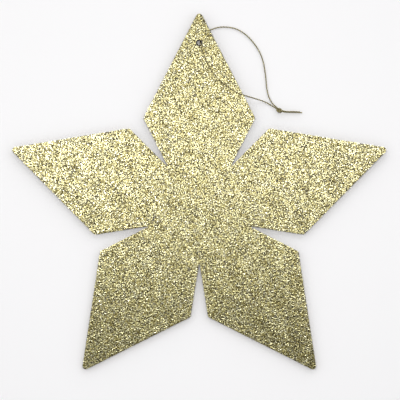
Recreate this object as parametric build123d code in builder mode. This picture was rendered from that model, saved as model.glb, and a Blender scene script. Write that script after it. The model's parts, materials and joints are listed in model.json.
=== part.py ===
from build123d import *
import math
import os

# A flat five-petal star ornament for hanging: die-cut board with a glitter paper on each face,
# and a thin loop of twisted cord through a punched hole near the top petal's tip.
# Frame: origin at the star's centre, half way through its thickness. +Z is the front face's
# normal, and +Y points to the petal with the hole. The star lies on its back, with one leg of
# the loop on the front face and the other under the star, on the table.

# Driving dimensions, in millimetres and degrees
PETALS = 5
TIP_REACH = 160.0  # centre to a petal's tip, before rounding
SHOULDER_REACH = 86.0  # centre to a petal's widest corner
SHOULDER_ANGLE = 31.3  # that corner, either side of the petal's axis
NOTCH_REACH = 41.0  # centre to the bottom of the notch between two petals
TIP_ROUND = 2.5
SHOULDER_ROUND = 2.0
NOTCH_ROUND = 0.4
CORE_THICKNESS = 2.0
SHEET_THICKNESS = 0.3
HOLE_REACH = 133.8  # centre to the punched hole, on the top petal's axis
HOLE_RADIUS = 2.0
CORD_RADIUS = 0.5
GLITTER_GAP = 0.2  # the cord rides this far off each sheet, on the tops of the flakes
KNOT_LENGTH = 5.2
KNOT_RADIUS = 1.75

# Derived heights
CORE_TOP = CORE_THICKNESS / 2
FACE = CORE_TOP + SHEET_THICKNESS
OVER = FACE + GLITTER_GAP + CORD_RADIUS  # cord lying on the front face
TABLE = -(FACE + GLITTER_GAP + 2 * CORD_RADIUS)
DOWN = TABLE + CORD_RADIUS  # cord lying on the table
KNOT_HEIGHT = TABLE + KNOT_RADIUS
KNOT_ENTRY = KNOT_HEIGHT - 0.15

# The cord passes the hole to the right of its centre and leans the same way on both sides, so
# the two legs start from one flat face. Their routes are corners, joined by arcs.
PASSAGE = (0.85, HOLE_REACH, 0)
FRONT_ROUTE = [
    PASSAGE,
    (1.0, HOLE_REACH - 0.8, OVER),
    (1.9, 129.4, OVER),
    (4.2, 121.9, OVER),
    (9.4, 111.0, OVER),
    (20.5, 99.4, OVER),
    (31.0, 93.2, OVER),
    (40.5, 90.3, OVER),
    (52.5, 87.0, DOWN),
    (58.8, 83.2, DOWN),
    (62.3, 79.95, KNOT_ENTRY),
]
BACK_ROUTE = [
    PASSAGE,
    (0.7, HOLE_REACH + 0.8, -OVER),
    (2.4, 138.0, DOWN),
    (6.6, 143.6, DOWN),
    (17.0, 147.4, DOWN),
    (31.2, 145.6, DOWN),
    (42.4, 136.4, DOWN),
    (50.4, 123.8, DOWN),
    (53.2, 109.4, DOWN),
    (54.3, 94.6, DOWN),
    (57.6, 86.2, DOWN),
    (62.87, 81.03, KNOT_ENTRY),
]
UPPER_TAIL_ROUTE = [
    (66.05, 79.35, KNOT_ENTRY),
    (69.6, 79.25, DOWN),
    (75.2, 79.5, DOWN),
    (80.6, 79.1, DOWN),
]
LOWER_TAIL_ROUTE = [
    (65.53, 78.37, KNOT_ENTRY),
    (69.0, 77.9, DOWN),
    (75.8, 78.2, DOWN),
    (82.5, 77.8, DOWN),
]
KNOT_CENTRE = (64.2, 79.7, KNOT_HEIGHT)
KNOT_TURN = -28.0  # the knot's long axis, seen from above, in degrees from +X


def star_corner(reach, angle):
    """A corner of the star's outline, by its distance from the centre and its direction."""
    turn = math.radians(angle)
    return (reach * math.cos(turn), reach * math.sin(turn))


def star_layer(thickness, bottom):
    """One die-cut layer of the star, with the punched hole through it."""
    corners = []
    for petal in range(PETALS):
        axis = 90 + petal * 360 / PETALS
        corners.append(star_corner(NOTCH_REACH, axis - 180 / PETALS))
        corners.append(star_corner(SHOULDER_REACH, axis - SHOULDER_ANGLE))
        corners.append(star_corner(TIP_REACH, axis))
        corners.append(star_corner(SHOULDER_REACH, axis + SHOULDER_ANGLE))
    with BuildPart() as layer:
        with BuildSketch(Plane.XY.offset(bottom)) as outline:
            with BuildLine():
                Polyline(*corners, close=True)
            make_face()
            for reach, round_off in (
                (TIP_REACH, TIP_ROUND),
                (SHOULDER_REACH, SHOULDER_ROUND),
                (NOTCH_REACH, NOTCH_ROUND),
            ):
                ring = [v for v in outline.vertices() if abs(math.hypot(v.X, v.Y) - reach) < 0.1]
                fillet(ring, radius=round_off)
            with Locations((0, HOLE_REACH)):
                Circle(HOLE_RADIUS, mode=Mode.SUBTRACT)
        extrude(amount=thickness)
    return layer


def corner_radii(route):
    """The arc at each inner corner, as large as the two runs beside it allow."""
    radii = []
    for before, corner, after in zip(route, route[1:], route[2:]):
        arriving = Vector(*corner) - Vector(*before)
        leaving = Vector(*after) - Vector(*corner)
        half_turn = math.radians(arriving.get_angle(leaving)) / 2
        radii.append(0.45 * min(arriving.length, leaving.length) / math.tan(half_turn))
    return radii


def cord_tube(route):
    """A round cord along its route, from straight runs and tangent arcs."""
    radii = corner_radii(route)
    with BuildPart() as tube:
        with BuildLine() as path:
            FilletPolyline(*route, radius=radii)
        with BuildSketch(Plane(origin=path.line @ 0, z_dir=path.line % 0)):
            Circle(CORD_RADIUS)
        sweep(path=path.line)
    length = sum(edge.length for edge in path.line.edges())
    swept = math.pi * CORD_RADIUS**2 * length
    print("cord", round(length, 1), "mm, volume over section x length", end=" ")
    print(round(tube.part.volume / swept, 4))
    print("  arc radii", [round(radius, 1) for radius in radii])
    return tube


# The die-cut board and its two glitter papers, cut together, so their outlines are the same
star_core_board = star_layer(CORE_THICKNESS, -CORE_TOP)
star_core_board.part.label = "star_core_board"

front_glitter_sheet = star_layer(SHEET_THICKNESS, CORE_TOP)
front_glitter_sheet.part.label = "front_glitter_sheet"

back_glitter_sheet = star_layer(SHEET_THICKNESS, -FACE)
back_glitter_sheet.part.label = "back_glitter_sheet"

# The hanging loop: two legs that meet in the hole, the knot, and the cord's two cut ends
cord_front_leg = cord_tube(FRONT_ROUTE)
cord_front_leg.part.label = "cord_front_leg"

cord_back_leg = cord_tube(BACK_ROUTE)
cord_back_leg.part.label = "cord_back_leg"

cord_upper_tail = cord_tube(UPPER_TAIL_ROUTE)
cord_upper_tail.part.label = "cord_upper_tail"

cord_lower_tail = cord_tube(LOWER_TAIL_ROUTE)
cord_lower_tail.part.label = "cord_lower_tail"

knot_plane = Plane(KNOT_CENTRE).rotated((0, 0, KNOT_TURN))
with BuildPart() as cord_knot:
    with BuildSketch(knot_plane):
        Ellipse(KNOT_LENGTH / 2, KNOT_RADIUS)
        split(bisect_by=Plane.XZ)
    revolve(axis=Axis(knot_plane.origin, knot_plane.x_dir))
cord_knot.part.label = "cord_knot"

os.makedirs("parts", exist_ok=True)
export_step(star_core_board.part, "parts/star_core_board.step")
export_step(front_glitter_sheet.part, "parts/front_glitter_sheet.step")
export_step(back_glitter_sheet.part, "parts/back_glitter_sheet.step")
export_step(cord_front_leg.part, "parts/cord_front_leg.step")
export_step(cord_back_leg.part, "parts/cord_back_leg.step")
export_step(cord_knot.part, "parts/cord_knot.step")
export_step(cord_upper_tail.part, "parts/cord_upper_tail.step")
export_step(cord_lower_tail.part, "parts/cord_lower_tail.step")
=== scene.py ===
import json
import math

import bmesh
import bpy
import numpy as np
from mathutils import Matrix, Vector
from mathutils.geometry import delaunay_2d_cdt


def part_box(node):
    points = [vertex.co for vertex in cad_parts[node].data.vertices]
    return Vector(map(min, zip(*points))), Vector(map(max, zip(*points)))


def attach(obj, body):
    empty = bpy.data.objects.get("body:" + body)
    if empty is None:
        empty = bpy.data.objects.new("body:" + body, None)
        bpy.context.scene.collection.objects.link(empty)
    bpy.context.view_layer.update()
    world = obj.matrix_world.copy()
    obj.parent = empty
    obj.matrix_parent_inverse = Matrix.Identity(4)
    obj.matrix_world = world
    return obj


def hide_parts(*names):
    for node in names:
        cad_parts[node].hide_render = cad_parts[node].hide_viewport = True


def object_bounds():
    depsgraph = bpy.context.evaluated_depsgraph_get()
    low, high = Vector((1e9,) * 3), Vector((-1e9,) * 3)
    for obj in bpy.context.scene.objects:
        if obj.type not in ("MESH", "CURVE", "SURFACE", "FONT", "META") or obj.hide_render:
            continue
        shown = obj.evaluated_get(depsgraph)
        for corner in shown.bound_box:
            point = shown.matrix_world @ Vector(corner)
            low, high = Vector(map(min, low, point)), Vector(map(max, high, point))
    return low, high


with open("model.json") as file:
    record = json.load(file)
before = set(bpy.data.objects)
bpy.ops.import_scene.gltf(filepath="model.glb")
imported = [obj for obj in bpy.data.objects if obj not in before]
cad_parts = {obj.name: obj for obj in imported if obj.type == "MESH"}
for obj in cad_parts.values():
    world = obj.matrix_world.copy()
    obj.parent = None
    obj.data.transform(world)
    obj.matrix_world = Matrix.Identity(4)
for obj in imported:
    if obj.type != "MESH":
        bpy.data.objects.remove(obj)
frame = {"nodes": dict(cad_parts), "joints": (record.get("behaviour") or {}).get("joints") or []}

# A flat glitter star lying on a pale table, with its hanging cord through the punched hole.
# Everything is in metres, in the CAD model's frame: origin at the star's centre, +Z up.

cad_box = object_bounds()
MM = 0.001
FACE_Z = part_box("front_glitter_sheet")[1].z
BACK_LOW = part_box("back_glitter_sheet")[0]
HOLE = Vector(frame["joints"][0]["pos_m"])
HOLE_RADIUS = 2.0 * MM

# The star rests on the cord under its top petal and on the tips of its two lowest petals, so the
# table rises towards them by this much for each unit of distance.
TABLE_Z = cad_box[0].z  # under the hole
FLAKES_BELOW = 0.1 * MM  # the back's flakes stand out from the CAD sheet by about this much
TABLE_SLOPE = (BACK_LOW.z - FLAKES_BELOW - TABLE_Z) / (HOLE.y - BACK_LOW.y)


# ---------------------------------------------------------------- helpers for materials

def new_material(name):
    """A material, its nodes and links, and its Principled shader."""
    mat = bpy.data.materials.new(name)
    mat.use_nodes = True
    nodes = mat.node_tree.nodes
    return mat, nodes, mat.node_tree.links, nodes["Principled BSDF"]


def colour_ramp(nodes, *stops):
    """A colour ramp from stops of a position and a colour, lowest first."""
    node = nodes.new("ShaderNodeValToRGB")
    elements = node.color_ramp.elements
    for element, (position, rgb) in zip(elements, (stops[0], stops[-1])):
        element.position, element.color = position, (*rgb, 1)
    for position, rgb in stops[1:-1]:
        elements.new(position).color = (*rgb, 1)
    return node


def map_range(nodes, links, value, to, source=(0.0, 1.0)):
    """A value mapped from its source range to another, as an output socket."""
    node = nodes.new("ShaderNodeMapRange")
    node.inputs["From Min"].default_value, node.inputs["From Max"].default_value = source
    node.inputs["To Min"].default_value, node.inputs["To Max"].default_value = to
    links.new(value, node.inputs["Value"])
    return node.outputs["Result"]


def math_node(nodes, operation, *constants):
    """A Math node with constants on its inputs from the second on."""
    node = nodes.new("ShaderNodeMath")
    node.operation = operation
    for socket, constant in zip(node.inputs[1:], constants):
        socket.default_value = constant
    return node


def add_bump(nodes, links, value, shader, strength, distance):
    bump = nodes.new("ShaderNodeBump")
    bump.inputs["Strength"].default_value = strength
    bump.inputs["Distance"].default_value = distance
    links.new(value, bump.inputs["Height"])
    links.new(bump.outputs["Normal"], shader.inputs["Normal"])


# ---------------------------------------------------------------- camera, light and table

CAMERA_HEIGHT = 1.0  # above the star's front face
VIEW_WIDTH = 0.32  # what the picture's width covers at the star
VIEW_CENTRE = (0.0006, 0.0079)
SENSOR_WIDTH = 36.0

TENT_TOP, TENT_SIDE = 0.82, 0.48  # the world's Generated Z where its top ends and its sides start
TOP_GLOW, SIDE_GLOW = 0.02, 1.43
BACK_LEAN = 0.55  # how much brighter the tent is beyond the top petal than on the near side
TENT_COLOUR = (0.98, 0.98, 1.0, 1.0)
GLARE_SIZE = (0.14, 0.12)
GLARE_COLOUR = (1.0, 0.995, 0.97)
SOFT_SIZE = (0.5, 0.5)
SOFT_COLOUR = (1.0, 0.99, 0.98)
LIGHTS = (  # name, place, size, power and colour
    ("left_glare", (-0.23, 0.13, 1.0), GLARE_SIZE, 2.25, GLARE_COLOUR),
    ("right_glare", (0.22, 0.13, 1.0), GLARE_SIZE, 1.8, GLARE_COLOUR),
    ("key", (-0.62, 0.62, 1.2), SOFT_SIZE, 0.3, SOFT_COLOUR),
    ("right", (0.75, 0.40, 1.2), SOFT_SIZE, 0.2, SOFT_COLOUR),
)

TABLE_SIZE = 6.0  # from its middle to each side
TABLE_COLOUR = (0.95, 0.945, 0.95, 1.0)
TABLE_ROUGHNESS = 0.6


def make_camera():
    """Straight above the star, square to it."""
    data = bpy.data.cameras.new("camera")
    data.sensor_width = SENSOR_WIDTH
    data.lens = SENSOR_WIDTH * CAMERA_HEIGHT / VIEW_WIDTH
    camera = bpy.data.objects.new("camera", data)
    camera.location = (*VIEW_CENTRE, CAMERA_HEIGHT + FACE_Z)
    bpy.context.scene.collection.objects.link(camera)
    bpy.context.scene.camera = camera
    bpy.context.scene.view_settings.view_transform = "Standard"


def make_tent():
    """The world: a white tent with a dim top, where the camera looks in."""
    world = bpy.data.worlds.new("studio")
    world.use_nodes = True
    nodes, links = world.node_tree.nodes, world.node_tree.links
    place = nodes.new("ShaderNodeTexCoord")
    split = nodes.new("ShaderNodeSeparateXYZ")
    links.new(place.outputs["Generated"], split.inputs["Vector"])
    height = map_range(
        nodes, links, split.outputs["Z"], (TOP_GLOW, SIDE_GLOW), (TENT_TOP, TENT_SIDE)
    )
    lean = math_node(nodes, "MULTIPLY_ADD", BACK_LEAN, 1.0)
    links.new(split.outputs["Y"], lean.inputs[0])
    glow = math_node(nodes, "MULTIPLY")
    links.new(height, glow.inputs[0])
    links.new(lean.outputs["Value"], glow.inputs[1])
    background = nodes["Background"]
    background.inputs["Color"].default_value = TENT_COLOUR
    links.new(glow.outputs["Value"], background.inputs["Strength"])
    bpy.context.scene.world = world


def make_lights():
    """Two small lights that the upper petals mirror to the camera, and two soft ones aside."""
    for name, place, size, power, colour in LIGHTS:
        data = bpy.data.lights.new(name, "AREA")
        data.shape = "RECTANGLE"
        data.size, data.size_y = size
        data.energy = power
        data.color = colour
        light = bpy.data.objects.new(name, data)
        light.location = place
        light.rotation_mode = "QUATERNION"
        light.rotation_quaternion = (-Vector(place)).to_track_quat("-Z", "Y")
        bpy.context.scene.collection.objects.link(light)


def table_height(y):
    return TABLE_Z + TABLE_SLOPE * (HOLE.y - y)


def make_table():
    mesh = bpy.data.meshes.new("table")
    signs = ((-1, -1), (1, -1), (1, 1), (-1, 1))
    corners = [(x * TABLE_SIZE, y * TABLE_SIZE, table_height(y * TABLE_SIZE)) for x, y in signs]
    mesh.from_pydata(corners, [], [(0, 1, 2, 3)])
    table = bpy.data.objects.new("table", mesh)
    bpy.context.scene.collection.objects.link(table)
    mat, _, _, shader = new_material("table")
    shader.inputs["Base Color"].default_value = TABLE_COLOUR
    shader.inputs["Roughness"].default_value = TABLE_ROUGHNESS
    mesh.materials.append(mat)


# ---------------------------------------------------------------- glitter paper

# The facets, each a part of a flake
FACET = 0.68 * MM  # distance between the corners of neighbouring facets
# These five are shares of FACET
ROW_STEP = 0.866  # between the rows of a grid of equal triangles
JITTER = 0.4  # how far a grid point strays
RIM_STEP = 0.9  # between the points along the outline and round the hole
EDGE_CLEAR = 0.5  # how far the grid keeps from the outline
HOLE_CLEAR = 0.45  # and from the hole
RELIEF = 0.030 * MM  # how far most facets' corners stand up or down, one standard deviation
PROUD = 0.075 * MM  # and the loose ones
LOOSE_SHARE = 0.15
DEEPEST, HIGHEST = -0.2 * MM, 0.13 * MM  # no corner goes past these
RAGGED = 0.07 * MM  # how far the die-cut edge wanders
CRUSHED_AND_SHADED_RIM = 0.7 * MM  # the punch crushes the flakes this far round the hole, and over the same ring their tone is darkened as painted shade of the hole
CRUSHED_DEPTH = 2 * RELIEF
CRUSHED_AND_SHADED_TONE = 0.1  # their tone is this share of what it would be: a little for the crushed flakes' own darker colour, the rest painted shade of the hole

# The flakes' tones, from 0 to 1
FLAKE = 0.8 * MM  # a flake's width
FLAKE_TURN = 0.47  # the flakes' grid is turned by this, in radians
FLAKE_EDGE = 0.3  # how ragged a flake's edge is, as a share of FLAKE
UNLIKE = 0.8  # how much a flake's tone avoids its neighbours'
TONE_RANGE = 0.88  # the share of the full range of tones that the flakes use
FACET_TONE = 0.06  # how much the facets of one flake differ, one standard deviation
PATCH = 16 * MM  # the size of the patches where flakes are richer or paler together
PATCH_SPREAD = (0.6, 1.8)  # the waves that add up to them are this many times as long
PATCH_DEPTH = 0.03  # one standard deviation
PATCH_WAVES = 14
TONES = (
    (0.0, (0.016, 0.011, 0.0005)),
    (0.30, (0.070, 0.052, 0.003)),
    (0.50, (0.33, 0.275, 0.075)),
    (0.70, (0.63, 0.585, 0.29)),
    (1.0, (0.72, 0.69, 0.48)),
)
GLITTER_ROUGHNESS = (0.44, 0.29)  # of the darkest and the palest flakes
GLITTER_METALLIC = 0.9
LACQUER = 1.0
LACQUER_ROUGHNESS = 0.28


def from_hole(points):
    """Each point's distance from the hole's middle, seen from above."""
    return np.linalg.norm(points - np.array(HOLE[:2]), axis=1)


def outline_loops(node, top):
    """The closed loops of points round a CAD sheet's top or bottom face: the star and the hole."""
    mesh = frame["nodes"][node].data
    low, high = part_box(node)
    level = high.z if top else low.z
    at = {}  # the place of each vertex of that face, by its number
    for vertex in mesh.vertices:
        if abs(vertex.co.z - level) < 1e-6:
            at[vertex.index] = (round(vertex.co.x, 6), round(vertex.co.y, 6))
    seen = {}  # how many of its triangles share each edge
    for face in mesh.polygons:
        corners = list(face.vertices)
        if all(corner in at for corner in corners):
            for a, b in zip(corners, corners[1:] + corners[:1]):
                edge = frozenset((at[a], at[b]))
                seen[edge] = seen.get(edge, 0) + 1
    beside = {}  # the two neighbours of each point along the outline
    for edge, count in seen.items():
        if count == 1 and len(edge) == 2:
            a, b = edge
            beside.setdefault(a, []).append(b)
            beside.setdefault(b, []).append(a)
    loops = []
    while beside:
        start = next(iter(beside))
        loop, here, before = [start], beside[start][0], start
        while here != start:
            loop.append(here)
            ahead = [p for p in beside[here] if p != before]
            before, here = here, ahead[0]
        for p in loop:
            del beside[p]
        loops.append(np.array(loop))
    return sorted(loops, key=len, reverse=True)


def divided(loop, step):
    """The loop with points about step apart, its own corners kept."""
    points = []
    for a, b in zip(loop, np.roll(loop, -1, axis=0)):
        count = max(1, round(np.linalg.norm(b - a) / step))
        points += [a + (b - a) * i / count for i in range(count)]
    return np.array(points)


def inside(points, loop, margin):
    """Which points are inside a closed loop and at least margin from its sides."""
    crossings = np.zeros(len(points), int)
    nearest = np.full(len(points), 1.0)
    for a, b in zip(loop, np.roll(loop, -1, axis=0)):
        along = b - a
        level = (a[1] > points[:, 1]) != (b[1] > points[:, 1])
        rise = along[1] if along[1] else 1.0
        crossings += level & (points[:, 0] < a[0] + (points[:, 1] - a[1]) / rise * along[0])
        reach = np.clip((points - a) @ along / (along @ along), 0, 1)
        nearest = np.minimum(nearest, np.linalg.norm(points - a - reach[:, None] * along, axis=1))
    return (crossings % 2 == 1) & (nearest > margin)


def facet_corners(die_cut, low, high, rng):
    """A jittered triangular grid of points inside the die-cut outline and outside the hole."""
    rows = np.arange(low.y, high.y, FACET * ROW_STEP)
    columns = np.arange(low.x, high.x, FACET)
    x, y = np.meshgrid(columns, rows)
    x = x + (np.arange(len(rows)) % 2)[:, None] * FACET / 2
    grid = np.stack([x.ravel(), y.ravel()], 1)
    grid = grid + rng.uniform(-JITTER, JITTER, (x.size, 2)) * FACET
    grid = grid[inside(grid, die_cut, FACET * EDGE_CLEAR)]
    return grid[from_hole(grid) > HOLE_RADIUS + FACET * HOLE_CLEAR]


def triangulated(flat, edges):
    """The points, and the triangles between them inside the outline and outside the hole."""
    in_mm = [Vector(p) for p in (flat * 1000).tolist()]
    made = delaunay_2d_cdt(in_mm, edges, [], 1, 1e-7)
    points = np.array([tuple(p) for p in made[0]]) / 1000
    triangles = np.array(made[2])
    return points, triangles[from_hole(points[triangles].mean(1)) > HOLE_RADIUS]


def glitter_sheet(name, node, top, seed):
    """The sheet with every flake a small tilted facet: one closed mesh in the CAD sheet's place."""
    rng = np.random.default_rng(seed)
    low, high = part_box(node)
    face_z, glue_z = (high.z, low.z) if top else (low.z, high.z)
    outward = 1 if top else -1
    die_cut, punched = outline_loops(node, top)[:2]
    star, hole = divided(die_cut, FACET * RIM_STEP), divided(punched, FACET * RIM_STEP)
    inward = np.roll(star, -1, axis=0) - np.roll(star, 1, axis=0)
    inward = np.stack([-inward[:, 1], inward[:, 0]], 1)
    inward /= np.linalg.norm(inward, axis=1)[:, None]
    star = star + inward * rng.normal(0, RAGGED, (len(star), 1))
    flat = np.concatenate([star, hole, facet_corners(die_cut, low, high, rng)])
    rims = len(star) + len(hole)
    edges = [(i, (i + 1) % len(star)) for i in range(len(star))]
    edges += [(len(star) + i, len(star) + (i + 1) % len(hole)) for i in range(len(hole))]
    points, triangles = triangulated(flat, edges)
    loose = rng.random(len(points)) < LOOSE_SHARE
    height = np.clip(rng.normal(0, np.where(loose, PROUD, RELIEF)), DEEPEST, HIGHEST)
    height[:rims] = -RELIEF
    height[from_hole(points) < HOLE_RADIUS + CRUSHED_AND_SHADED_RIM] = -CRUSHED_DEPTH
    upper = np.column_stack([points, face_z + outward * height])
    lower = np.column_stack([points[:rims], np.full(rims, glue_z)])
    cap = triangulated(points[:rims], edges)[1] + len(upper)
    walls = []
    for a, b in edges:
        walls.append((a, b, len(upper) + b))
        walls.append((a, len(upper) + b, len(upper) + a))
    mesh = bpy.data.meshes.new(name)
    faces = np.concatenate([triangles, cap[:, ::-1], np.array(walls)])
    mesh.from_pydata(np.concatenate([upper, lower]).tolist(), [], faces.tolist())
    mesh.validate()
    sheet = bpy.data.objects.new(name, mesh)
    bpy.context.scene.collection.objects.link(sheet)
    make_normals_consistent(mesh)
    centres = np.empty(len(mesh.polygons) * 3)
    mesh.polygons.foreach_get("center", centres)
    centres = centres.reshape(-1, 3)[:, :2]
    tones = flake_tones(centres, rng)
    # painted shade: the flakes round the hole are darkened to stand in for the hole's shadow as
    # well as the crush
    tones[from_hole(centres) < HOLE_RADIUS + CRUSHED_AND_SHADED_RIM] *= CRUSHED_AND_SHADED_TONE
    layer = mesh.attributes.new("flake", "FLOAT", "FACE")
    layer.data.foreach_set("value", tones.astype(np.float32))
    mesh.materials.append(glitter_material())
    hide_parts(node)
    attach(sheet, "star")


def flake_tones(centres, rng):
    """Each facet's tone: facets of one flake alike, and flakes unlike their neighbours."""
    turned = np.exp(1j * FLAKE_TURN) * (centres @ (1, 1j))
    ragged = rng.uniform(-FLAKE_EDGE, FLAKE_EDGE, (2, len(centres)))
    column = (np.floor(turned.real / FLAKE + ragged[0])).astype(int)
    row = (np.floor(turned.imag / FLAKE + ragged[1])).astype(int)
    column, row = column - column.min(), row - row.min()
    flakes = rng.random((column.max() + 1, row.max() + 1))
    around = sum(np.roll(flakes, step, axis) for step in (-1, 1) for axis in (0, 1)) / 4
    flakes = flakes - UNLIKE * around
    ranks = flakes.ravel().argsort().argsort().reshape(flakes.shape) / flakes.size
    tones = 0.5 + TONE_RANGE * (ranks[column, row] - 0.5)
    tones += rng.normal(0, FACET_TONE, len(centres))
    depth = PATCH_DEPTH / math.sqrt(PATCH_WAVES / 2)
    for _ in range(PATCH_WAVES):
        facing, start = rng.uniform(0, 2 * math.pi, 2)
        length = PATCH * rng.uniform(*PATCH_SPREAD)
        along = centres @ (math.cos(facing), math.sin(facing))
        tones += depth * np.cos(2 * math.pi * along / length + start)
    return np.clip(tones, 0, 1)


def make_normals_consistent(mesh):
    work = bmesh.new()
    work.from_mesh(mesh)
    bmesh.ops.recalc_face_normals(work, faces=work.faces)
    work.to_mesh(mesh)
    work.free()


def glitter_material():
    """Gold flakes by their tone, under the lacquer that holds them. Both sheets share it."""
    made = bpy.data.materials.get("gold_glitter")
    if made:
        return made
    mat, nodes, links, shader = new_material("gold_glitter")
    flake = nodes.new("ShaderNodeAttribute")
    flake.attribute_name = "flake"
    colour = colour_ramp(nodes, *TONES)
    links.new(flake.outputs["Fac"], colour.inputs["Fac"])
    links.new(colour.outputs["Color"], shader.inputs["Base Color"])
    rough = map_range(nodes, links, flake.outputs["Fac"], GLITTER_ROUGHNESS)
    links.new(rough, shader.inputs["Roughness"])
    shader.inputs["Metallic"].default_value = GLITTER_METALLIC
    shader.inputs["Coat Weight"].default_value = LACQUER
    shader.inputs["Coat Roughness"].default_value = LACQUER_ROUGHNESS
    return mat


# ---------------------------------------------------------------- board

FIBRE_STRETCH = (1.0, 1.0, 6.0)  # fibres lie flat in the board
FIBRE_SCALE, FIBRE_DETAIL, FIBRE_ROUGHNESS = 700.0, 6.0, 0.7
BOARD_COLOURS = ((0.30, (0.03, 0.021, 0.014)), (0.72, (0.19, 0.148, 0.105)))
BOARD_ROUGHNESS = (0.95, 0.75)
FIBRE_RELIEF = 0.08 * MM


def board_material():
    """Pressed grey-brown board: thin layers of fibre seen at the cut edge, with specks."""
    mat, nodes, links, shader = new_material("greyboard")
    place = nodes.new("ShaderNodeTexCoord")
    stretch = nodes.new("ShaderNodeMapping")
    stretch.inputs["Scale"].default_value = FIBRE_STRETCH
    links.new(place.outputs["Object"], stretch.inputs["Vector"])
    fibres = nodes.new("ShaderNodeTexNoise")
    fibres.inputs["Scale"].default_value = FIBRE_SCALE
    fibres.inputs["Detail"].default_value = FIBRE_DETAIL
    fibres.inputs["Roughness"].default_value = FIBRE_ROUGHNESS
    links.new(stretch.outputs["Vector"], fibres.inputs["Vector"])
    colour = colour_ramp(nodes, *BOARD_COLOURS)
    links.new(fibres.outputs["Fac"], colour.inputs["Fac"])
    links.new(colour.outputs["Color"], shader.inputs["Base Color"])
    add_bump(nodes, links, fibres.outputs["Fac"], shader, strength=0.8, distance=FIBRE_RELIEF)
    rough = map_range(nodes, links, fibres.outputs["Fac"], BOARD_ROUGHNESS)
    links.new(rough, shader.inputs["Roughness"])
    return mat


def dress_board():
    """The board keeps its CAD shape."""
    mesh = frame["nodes"]["star_core_board"].data
    mesh.materials.clear()
    mesh.materials.append(board_material())


# ---------------------------------------------------------------- the cord's route

# The route's corners, in millimetres. They are the CAD tubes' corners, apart from where the back
# leg starts down and how the tails lie. The knot's strands come between the legs and the tails.
# First, the heights of the cord's middle:
OVER = 2.0  # lying on the front face
DOWN = -2.0  # lying on the table
ON_TAIL = -1.15  # lying on the other tail
PASSAGE = (0.85, 133.8, 0.0)  # inside the hole
FRONT_LEG = [
    PASSAGE,
    (1.0, 133.0, OVER),
    (1.9, 129.4, OVER),
    (4.2, 121.9, OVER),
    (9.4, 111.0, OVER),
    (20.5, 99.4, OVER),
    (31.0, 93.2, OVER),
    (40.5, 90.3, OVER),
    (52.5, 87.0, DOWN),
    (58.8, 83.2, DOWN),
]
BACK_LEG = [
    PASSAGE,
    (0.7, 134.6, DOWN),
    (2.4, 138.0, DOWN),
    (6.6, 143.6, DOWN),
    (17.0, 147.4, DOWN),
    (31.2, 145.6, DOWN),
    (42.4, 136.4, DOWN),
    (50.4, 123.8, DOWN),
    (53.2, 109.4, DOWN),
    (54.3, 94.6, DOWN),
    (57.6, 86.2, DOWN),
]
UPPER_TAIL = [(69.6, 78.75, ON_TAIL), (75.2, 78.85, ON_TAIL), (80.6, 78.45, ON_TAIL)]
LOWER_TAIL = [(69.0, 78.2, DOWN), (75.8, 78.35, DOWN), (82.5, 78.0, DOWN)]


def smooth_line(name, route):
    """The points of a smooth line with the route's corners as its control points."""
    curve = bpy.data.curves.new(name, "CURVE")
    curve.dimensions = "3D"
    spline = curve.splines.new("NURBS")
    spline.points.add(len(route) - 1)
    for point, place in zip(spline.points, route):
        point.co = (*place, 1)
    spline.order_u = 3
    spline.use_endpoint_u = True
    spline.resolution_u = 24
    line = bpy.data.objects.new(name, curve)
    bpy.context.scene.collection.objects.link(line)
    bpy.context.view_layer.update()
    mesh = bpy.data.meshes.new_from_object(line)
    points = np.array([vertex.co[:] for vertex in mesh.vertices])
    bpy.data.objects.remove(line)
    bpy.data.meshes.remove(mesh)
    return points


def evenly(points, step):
    """The same line with its points step apart, and the distance along it of each."""
    along = np.concatenate([[0], np.cumsum(np.linalg.norm(np.diff(points, axis=0), axis=1))])
    places = np.linspace(0, along[-1], round(along[-1] / step) + 1)
    return np.stack([np.interp(places, along, points[:, k]) for k in range(3)], 1), places


def side_vectors(points, first=None):
    """Two unit vectors square to the line at each point, turning with it and never about it."""
    tangents = np.gradient(points, axis=0)
    tangents /= np.linalg.norm(tangents, axis=1)[:, None]
    if first is None:
        first = np.cross(tangents[0], (0.3, 0.2, 1.0))  # any direction off the line will do
    sides = []
    for tangent in tangents:
        first = first - tangent * (first @ tangent)
        first = first / np.linalg.norm(first)
        sides.append(first)
    sides = np.array(sides)
    return sides, np.cross(tangents, sides)


# ---------------------------------------------------------------- knot

# All of the knot's values are in millimetres, as the route's are
STRAND_GAP = 0.72  # between the middles of the two strands in the knot
KNOT_TURN = math.radians(-28)
KNOT_PLACE = (64.2, 79.7, -0.88)
PAIR_WIDTH = 1.25  # the two strands together, as thick as one drawn-down line
PULLED_TO = 5.0  # the line's ends are drawn this far from the knot's middle
KNOT_REACH = 2.6  # the part that is knot reaches this far from its middle
BEADS = 60
DRAWS = 1500
DRAWING_SHARE = 0.6  # of the draws move the ends, and the rest let the knot settle
PULL, SMOOTH, PUSH = 0.25, 0.08, 0.45  # how far one draw goes in each of its ways
STRETCH_LIMIT = 1.015  # the links get shorter while they are stretched by less than this
SHORTER = 0.9975


def slack_knot():
    """An overhand knot in one line, loose and flat, with an end drawn out to each side."""
    t = np.linspace(-2.2, 2.2, 300)
    turns = 1.2 * np.stack([t**3 - 3 * t, 0.9 * (t**4 - 4 * t**2), 0.14 * (t**5 - 10 * t)], 1)
    left = np.array([(-12, 1.0, turns[0, 2] * 0.4), (-8.4, 3.0, turns[0, 2] * 0.8)])
    right = left[::-1] * (-1, 1, -1)
    whole = np.concatenate([left, turns, right])
    return evenly(whole, np.linalg.norm(np.diff(whole, axis=0), axis=1).sum() / (BEADS - 1))[0]


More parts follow.
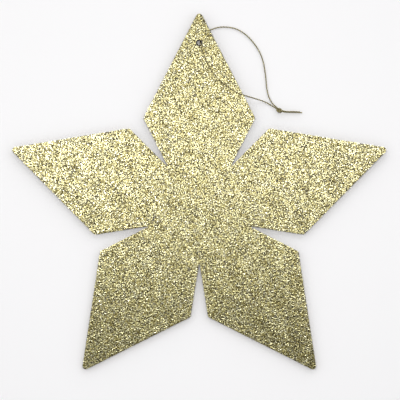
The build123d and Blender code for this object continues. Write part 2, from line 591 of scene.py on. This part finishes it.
def drawn_knot():
    """The same knot pulled tight: a chain of beads as wide as the pair of strands.

    Every step pulls the ends towards their places, shortens and smooths the chain, and pushes
    the beads of different turns apart to a line's width.
    """
    beads = slack_knot()
    slack_ends = beads[[0, -1]].copy()
    tight_ends = np.array([(-PULLED_TO, 0, 0), (PULLED_TO, 0, 0)])
    link = np.linalg.norm(np.diff(beads, axis=0), axis=1).mean()
    number = np.arange(len(beads))
    links_apart = np.abs(number[:, None] - number[None])
    for draw in range(DRAWS):
        done = min(1, draw / (DRAWING_SHARE * DRAWS))
        ends = slack_ends * (1 - done) + tight_ends * done
        beads[[0, -1]] = ends
        for _ in range(2):
            gap = np.diff(beads, axis=0)
            length = np.linalg.norm(gap, axis=1)[:, None]
            pull = PULL * (length - link) / length * gap
            beads[1:-1] += pull[1:] - pull[:-1]
        beads[1:-1] += SMOOTH * (beads[:-2] + beads[2:] - 2 * beads[1:-1])
        for _ in range(2):
            distance = np.sqrt(((beads[:, None] - beads[None]) ** 2).sum(2) + 1e-9)
            beside = links_apart <= max(2, math.ceil(1.25 * PAIR_WIDTH / link))
            close = (distance < PAIR_WIDTH) & ~beside
            push = np.where(close, (PAIR_WIDTH - distance) / distance, 0)
            move = PUSH * (push.sum(1)[:, None] * beads - push @ beads)
            beads += move / np.sqrt(np.maximum(1, (push > 0).sum(1)))[:, None]
            beads[[0, -1]] = ends
        if np.linalg.norm(np.diff(beads, axis=0), axis=1).mean() < link * STRETCH_LIMIT:
            link *= SHORTER
    return beads


def knot_strands():
    """The two strands side by side through the knot, placed in the model."""
    beads = drawn_knot()
    knot = beads[np.abs(beads[:, 0]) < KNOT_REACH]
    middle = (knot.min(0) + knot.max(0)) / 2
    first = np.cross((0, 0, 1.0), knot[1] - knot[0])
    sides, ups = side_vectors(knot, first)
    # a steady extra turn brings the strands out side by side on the table, as they go in
    last = np.cross((0, 0, 1.0), knot[-1] - knot[-2])
    extra = math.atan2(last @ ups[-1], last @ sides[-1])
    turn = (np.linspace(0, 1, len(knot)) * extra)[:, None]
    offset = 0.5 * STRAND_GAP * (np.cos(turn) * sides + np.sin(turn) * ups)
    strands = np.stack([knot + offset, knot - offset]) - middle
    x = strands[..., 0] * math.cos(KNOT_TURN) - strands[..., 1] * math.sin(KNOT_TURN)
    y = strands[..., 0] * math.sin(KNOT_TURN) + strands[..., 1] * math.cos(KNOT_TURN)
    return np.stack([x, y, strands[..., 2]], 2) + KNOT_PLACE


# ---------------------------------------------------------------- cord

PLY_RADIUS = 0.27 * MM
PLY_OFFSET = 0.22 * MM  # from the cord's middle to each ply's
PLY_END = 0.7  # a ply's two ends are this much thinner
TWIST_PITCH = 2.3 * MM  # one full turn of the two plies
RING_STEP = 0.15 * MM
RING_SIDES = 10
BRIGHT_FOIL = ((0.0, (0.28, 0.23, 0.09)), (1.0, (0.74, 0.66, 0.36)))
DARK_FOIL = ((0.0, (0.01, 0.0075, 0.0025)), (1.0, (0.08, 0.063, 0.02)))
FOIL_ROUGHNESS = (0.55, 0.3)
FOIL_METALLIC = 0.7
FOIL_RELIEF = 0.05 * MM
WRAP_SCALE, WRAP_DISTORTION, WRAP_DETAIL = 0.9, 1.5, 2.0


def full_route(leg, strand, tail):
    """One strand of the cord from the hole through the knot to its cut end, in metres."""
    route = []
    for x, y, z in [*leg, *strand[::2].tolist(), *tail]:
        rise = table_height(y * MM) - TABLE_Z if z < 0 else 0
        route.append((x * MM, y * MM, z * MM + rise))
    return route


def ply_rings(middle):
    """Rings of points round a ply's middle line."""
    across, up = side_vectors(middle)
    around = np.arange(RING_SIDES) * 2 * math.pi / RING_SIDES
    radii = np.full(len(middle), PLY_RADIUS)
    radii[[0, -1]] *= PLY_END
    out = np.cos(around)[:, None] * across[:, None] + np.sin(around)[:, None] * up[:, None]
    return middle[:, None] + radii[:, None, None] * out


def twisted_cord(name, route, replaced):
    """Two foil-wrapped plies twisted round one smooth line."""
    line, along = evenly(smooth_line(name + "_line", route), RING_STEP)
    across, up = side_vectors(line)
    vertices, faces, uvs, plies = [], [], [], []
    for ply in (0, 1):
        turn = 2 * math.pi * along / TWIST_PITCH + ply * math.pi
        middle = line + PLY_OFFSET * (np.cos(turn)[:, None] * across + np.sin(turn)[:, None] * up)
        first = len(vertices)
        vertices += ply_rings(middle).reshape(-1, 3).tolist()
        for k in range(len(middle) - 1):
            for j in range(RING_SIDES):
                nxt = (j + 1) % RING_SIDES
                at, on = first + k * RING_SIDES, first + (k + 1) * RING_SIDES
                faces.append((at + j, at + nxt, on + nxt, on + j))
                u, v = along[k], along[k + 1]
                left, right = j / RING_SIDES, (j + 1) / RING_SIDES
                uvs += [(u, left), (u, right), (v, right), (v, left)]
        last = first + (len(middle) - 1) * RING_SIDES
        faces.append(tuple(range(first + RING_SIDES - 1, first - 1, -1)))
        faces.append(tuple(range(last, last + RING_SIDES)))
        uvs += [(along[0], 0.5)] * RING_SIDES + [(along[-1], 0.5)] * RING_SIDES
        plies += [ply] * (len(faces) - len(plies))
    mesh = bpy.data.meshes.new(name)
    mesh.from_pydata(vertices, [], faces)
    # the millimetres along the cord, and the share of a turn round the ply
    layer = mesh.uv_layers.new(name="along_and_round")
    layer.data.foreach_set("uv", (np.array(uvs) * [1000, 1]).ravel())
    mesh.attributes.new("ply", "FLOAT", "FACE").data.foreach_set("value", plies)
    mesh.polygons.foreach_set("use_smooth", [len(f) == 4 for f in faces])
    cord = bpy.data.objects.new(name, mesh)
    bpy.context.scene.collection.objects.link(cord)
    mesh.materials.append(cord_material())
    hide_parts(*replaced)
    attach(cord, "hanging_loop")


def cord_material():
    """Foil wrapped round a bright ply and a dark one. Both strands share it."""
    made = bpy.data.materials.get("foil_cord")
    if made:
        return made
    mat, nodes, links, shader = new_material("foil_cord")
    place = nodes.new("ShaderNodeUVMap")
    place.uv_map = "along_and_round"
    wrap = nodes.new("ShaderNodeTexWave")
    wrap.wave_type = "BANDS"
    wrap.bands_direction = "DIAGONAL"
    wrap.inputs["Scale"].default_value = WRAP_SCALE
    wrap.inputs["Distortion"].default_value = WRAP_DISTORTION
    wrap.inputs["Detail"].default_value = WRAP_DETAIL
    links.new(place.outputs["UV"], wrap.inputs["Vector"])
    bright = colour_ramp(nodes, *BRIGHT_FOIL)
    dark = colour_ramp(nodes, *DARK_FOIL)
    links.new(wrap.outputs["Fac"], bright.inputs["Fac"])
    links.new(wrap.outputs["Fac"], dark.inputs["Fac"])
    ply = nodes.new("ShaderNodeAttribute")
    ply.attribute_name = "ply"
    mix = nodes.new("ShaderNodeMix")
    mix.data_type = "RGBA"
    # a colour mix has its factor at 0, its colours at 6 and 7, and its result at 2
    links.new(ply.outputs["Fac"], mix.inputs[0])
    links.new(bright.outputs["Color"], mix.inputs[6])
    links.new(dark.outputs["Color"], mix.inputs[7])
    links.new(mix.outputs[2], shader.inputs["Base Color"])
    add_bump(nodes, links, wrap.outputs["Fac"], shader, strength=0.5, distance=FOIL_RELIEF)
    rough = map_range(nodes, links, wrap.outputs["Fac"], FOIL_ROUGHNESS)
    links.new(rough, shader.inputs["Roughness"])
    shader.inputs["Metallic"].default_value = FOIL_METALLIC
    return mat


def make_cords():
    back_strand, front_strand = knot_strands()
    twisted_cord(
        "front_cord",
        full_route(FRONT_LEG, front_strand, LOWER_TAIL),
        ["cord_front_leg", "cord_lower_tail", "cord_knot"],
    )
    twisted_cord(
        "back_cord",
        full_route(BACK_LEG, back_strand, UPPER_TAIL),
        ["cord_back_leg", "cord_upper_tail"],
    )


make_camera()
make_tent()
make_lights()
make_table()
glitter_sheet("front_glitter", "front_glitter_sheet", True, 7)
glitter_sheet("back_glitter", "back_glitter_sheet", False, 8)
dress_board()
make_cords()
